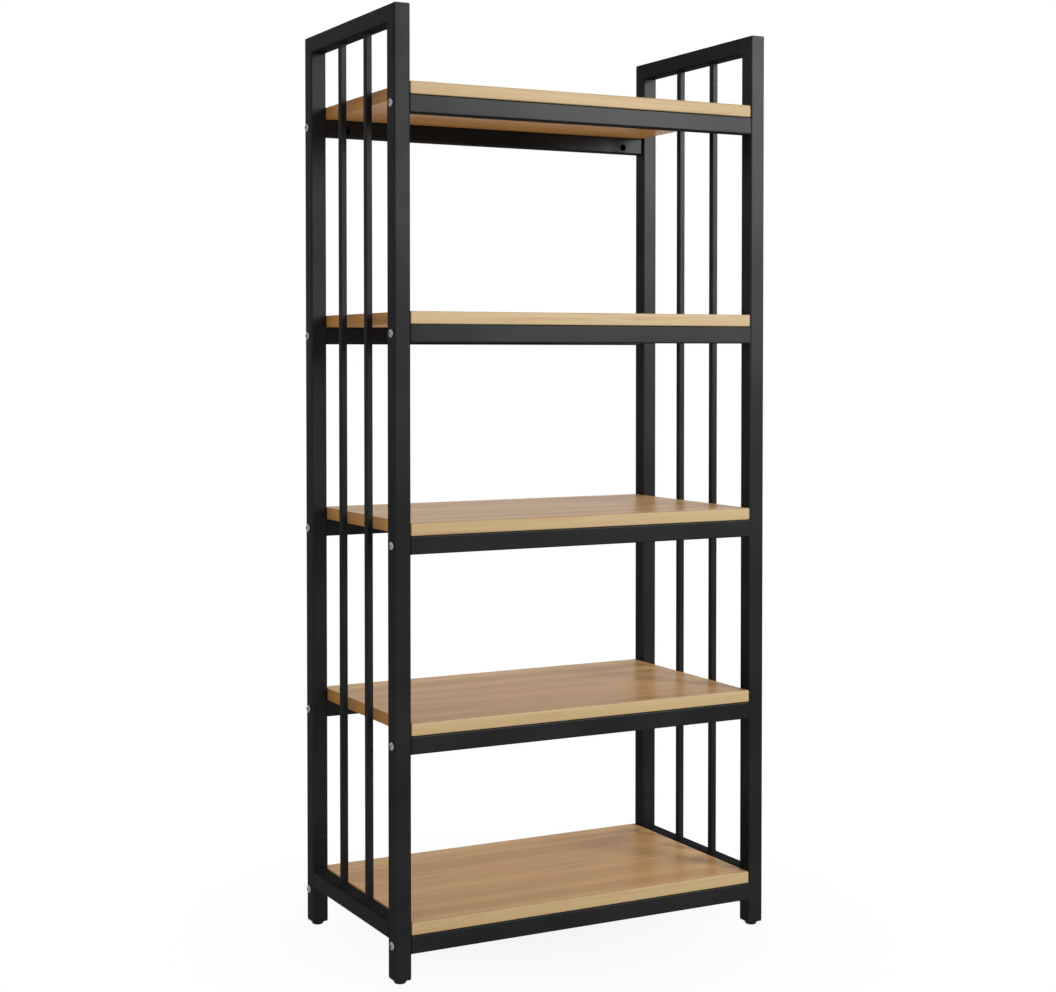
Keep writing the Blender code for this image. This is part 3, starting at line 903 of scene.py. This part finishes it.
class BOOKCASE_OT_lay_boards(bpy.types.Operator):
    """Lay a laminated and edge-banded board on each pair of rails"""

    bl_idname = "bookcase.lay_boards"
    bl_label = "Lay the boards"

    def execute(self, context):
        settings = context.scene.bookcase_board
        woods = board_finishes(settings)
        for level in LEVELS:
            node = f"{level}_board"
            mesh = board_mesh(f"{level}_laminated_board", node, settings, woods)
            add_piece(f"{level}_laminated_board", mesh, CASE, [node])
        return {"FINISHED"}


class BOOKCASE_OT_drive_bolts(bpy.types.Operator):
    """Put a dome-headed bolt through each post at each level"""

    bl_idname = "bookcase.drive_bolts"
    bl_label = "Drive the bolts"

    def execute(self, context):
        settings = context.scene.bookcase_bolt
        rise = settings.rim + settings.dome
        nodes = [f"{level}_{side}_{end}_bolt" for level in LEVELS for side, end in CORNERS]
        spots = []
        for node in nodes:
            low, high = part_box(node)
            middle = (low + high) / 2
            sign = 1 if middle.x > 0 else -1
            head_top = high.x if sign > 0 else low.x
            spots.append(((head_top - sign * rise, middle.y, middle.z), (sign, 0.0, 0.0)))
        values = tree_inputs(settings, (*FASTENER_SIZES, "Seed"), Reach=BOLT_BOX.x - rise)
        tree = fastener_tree("dome_bolts", hexagon_keys, bright_zinc(settings))
        mesh = grown_mesh("frame_bolts", spot_mesh("bolt_spots", spots), tree, values)
        add_piece("frame_bolts", mesh, CASE, nodes)
        return {"FINISHED"}


class BOOKCASE_OT_drive_screws(bpy.types.Operator):
    """Drive screws through the rails' upper walls into the boards, from inside the rails"""

    bl_idname = "bookcase.drive_screws"
    bl_label = "Drive the board screws"

    def execute(self, context):
        settings = context.scene.bookcase_screw
        spots = []
        for level in LEVELS:
            for end in ENDS:
                low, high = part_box(f"{level}_{end}_rail")
                y = (low.y + high.y) / 2
                for x in (low.x + settings.inset, high.x - settings.inset):
                    spots.append(((x, y, high.z - settings.wall), (0.0, 0.0, -1.0)))
        values = tree_inputs(settings, (*FASTENER_SIZES, "Seed"))
        tree = fastener_tree("board_screws", cross_keys, bright_zinc(context.scene.bookcase_bolt))
        mesh = grown_mesh("board_screws", spot_mesh("screw_spots", spots), tree, values)
        add_piece("board_screws", mesh, CASE)
        return {"FINISHED"}


class BOOKCASE_OT_fit_feet(bpy.types.Operator):
    """Fit each post with a plug, a threaded stem and a pad"""

    bl_idname = "bookcase.fit_feet"
    bl_label = "Fit the feet"

    def execute(self, context):
        settings = context.scene.bookcase_foot
        plastic, steel = black_plastic(settings), thread_steel(settings)
        tree = stem_tree("threaded_stem", steel)
        values = tree_inputs(settings, STEM_SIZES, Reach=STEM_BOX.z)
        for side, end in CORNERS:
            foot = f"{side}_{end}_foot"
            paint_nodes([f"{foot}_plug"], plastic)
            middle = box_middle(f"{foot}_pad")
            seat = (middle.x, middle.y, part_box(f"{foot}_pad")[0].z)
            pad = turned_mesh(f"{foot}_turned_pad", pad_profile(settings), settings.sides, seat, plastic)
            add_piece(f"{foot}_turned_pad", pad, f"{side}_{end}_pad", [f"{foot}_pad"])
            base = (middle.x, middle.y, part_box(f"{foot}_stem")[0].z)
            spot = spot_mesh(f"{foot}_stem_spot", [(base, (0.0, 0.0, 1.0))])
            stem = grown_mesh(f"{foot}_threaded_stem", spot, tree, values)
            add_piece(f"{foot}_threaded_stem", stem, f"{side}_{end}_stem", [f"{foot}_stem"])
        return {"FINISHED"}


class BOOKCASE_OT_set_stage(bpy.types.Operator):
    """Set the floor, the light and the camera"""

    bl_idname = "bookcase.set_stage"
    bl_label = "Set the stage"

    def execute(self, context):
        settings = context.scene.bookcase_stage
        context.scene.view_settings.view_transform = "Standard"
        self.lay_floor(settings)
        self.light_room(context.scene, settings)
        for name in SOFTBOXES:
            self.hang_softbox(name, settings)
        self.place_camera(context.scene, settings)
        return {"FINISHED"}

    def seeing(self, tree):
        """1 for a ray that shows the background: directly, through glass or in a reflection. Else 0."""
        path = tree.tree.nodes.new("ShaderNodeLightPath")
        camera, glass, glossy = (Wire(tree, path.outputs[name]) for name in SEEING_RAYS)
        return camera.at_least(glass).at_least(glossy)

    def floor_paint(self, settings):
        """White where it is seen, with a share of the real shading near the feet, and clear from below."""
        material = bpy.data.materials.new("pale_floor")
        material.use_nodes = True
        paint = Tree(material.node_tree)
        paint.tree.nodes.clear()
        pale = paint.node("ShaderNodeBsdfDiffuse", None, {"Color": opaque(settings.floor)})
        white = paint.node("ShaderNodeEmission", None, {"Color": WHITE, "Strength": 1.0})
        clear = paint.node("ShaderNodeBsdfTransparent")
        x, y, _ = paint.parts(paint.node("ShaderNodeTexCoord", output="Object"))
        away = (x * x + y * y).root()
        near = paint.ease(away, settings.shadow_reach, 0.0)
        seen = self.seeing(paint) * (1 - settings.shadow * near)
        top = paint.node("ShaderNodeMixShader", None, {0: seen, 1: pale, 2: white})
        below = paint.node("ShaderNodeNewGeometry", output="Backfacing")
        both = paint.node("ShaderNodeMixShader", None, {0: below, 1: top, 2: clear})
        paint.feed(paint.tree.nodes.new("ShaderNodeOutputMaterial").inputs["Surface"], both)
        return material

    def lay_floor(self, settings):
        bm = bmesh.new()
        bmesh.ops.create_grid(bm, x_segments=1, y_segments=1, size=FLOOR_HALF)
        floor = bpy.data.objects.new("floor", mesh_from(bm, "floor", self.floor_paint(settings)))
        bpy.context.scene.collection.objects.link(floor)

    def light_room(self, scene, settings):
        world = bpy.data.worlds.new("studio")
        scene.world = world
        world.use_nodes = True
        sky = Tree(world.node_tree)
        sky.tree.nodes.clear()
        strength = settings.ambient + (1 - settings.ambient) * self.seeing(sky)
        light = sky.node("ShaderNodeBackground", None, {"Color": WHITE, "Strength": strength})
        sky.feed(sky.tree.nodes.new("ShaderNodeOutputWorld").inputs["Surface"], light)

    def hang_softbox(self, name, settings):
        lamp = bpy.data.lights.new(f"{name}_softbox", "AREA")
        lamp.shape = "RECTANGLE"
        lamp.size, lamp.size_y = getattr(settings, f"{name}_size")
        lamp.energy = getattr(settings, name)
        box = bpy.data.objects.new(f"{name}_softbox", lamp)
        place = Vector(getattr(settings, f"{name}_place"))
        way = Vector(settings.aim) - place
        box.matrix_world = Matrix.Translation(place) @ way.to_track_quat("-Z", "Y").to_matrix().to_4x4()
        bpy.context.scene.collection.objects.link(box)

    def place_camera(self, scene, settings):
        view = bpy.data.cameras.new("camera")
        view.lens = settings.lens
        view.sensor_width = SENSOR
        view.shift_x, view.shift_y = settings.shift
        ahead = Vector((math.sin(settings.turn) * math.cos(settings.tilt),
                        math.cos(settings.turn) * math.cos(settings.tilt), math.sin(settings.tilt)))
        level = Vector((math.cos(settings.turn), -math.sin(settings.turn), 0.0))
        upright = level.cross(ahead)
        right = level * math.cos(settings.roll) + upright * math.sin(settings.roll)
        up = upright * math.cos(settings.roll) - level * math.sin(settings.roll)
        axes = Matrix((right, up, -ahead)).transposed().to_4x4()
        camera = bpy.data.objects.new("camera", view)
        camera.matrix_world = Matrix.Translation(settings.eye) @ axes
        scene.collection.objects.link(camera)
        scene.camera = camera


OPERATORS = (
    BOOKCASE_OT_coat_steel,
    BOOKCASE_OT_lay_boards,
    BOOKCASE_OT_drive_bolts,
    BOOKCASE_OT_drive_screws,
    BOOKCASE_OT_fit_feet,
    BOOKCASE_OT_set_stage,
)
SETTINGS = {
    "bookcase_coat": CoatSettings,
    "bookcase_board": BoardSettings,
    "bookcase_bolt": BoltSettings,
    "bookcase_screw": ScrewSettings,
    "bookcase_weld": WeldSettings,
    "bookcase_foot": FootSettings,
    "bookcase_stage": StageSettings,
}


class BOOKCASE_PT_panel(bpy.types.Panel):
    """Lists the bookcase's pieces in the order in which they are made, and their settings"""

    bl_idname = "BOOKCASE_PT_panel"
    bl_label = "Bookcase"
    bl_space_type = "VIEW_3D"
    bl_region_type = "UI"
    bl_category = "Bookcase"

    def draw(self, context):
        for operator in OPERATORS:
            self.layout.operator(operator.bl_idname)
        for name, group in SETTINGS.items():
            box = self.layout.box()
            for key in group.__annotations__:
                box.prop(getattr(context.scene, name), key)


CLASSES = (*SETTINGS.values(), *OPERATORS, BOOKCASE_PT_panel)


def register():
    for item in CLASSES:
        bpy.utils.register_class(item)
    for name, group in SETTINGS.items():
        setattr(bpy.types.Scene, name, PointerProperty(type=group))


def unregister():
    for name in SETTINGS:
        delattr(bpy.types.Scene, name)
    for item in reversed(CLASSES):
        bpy.utils.unregister_class(item)


def main():
    register()
    bpy.ops.bookcase.coat_steel()
    bpy.ops.bookcase.lay_boards()
    bpy.ops.bookcase.drive_bolts()
    bpy.ops.bookcase.drive_screws()
    bpy.ops.bookcase.fit_feet()
    bpy.ops.bookcase.set_stage()


if __name__ == "__main__":
    main()
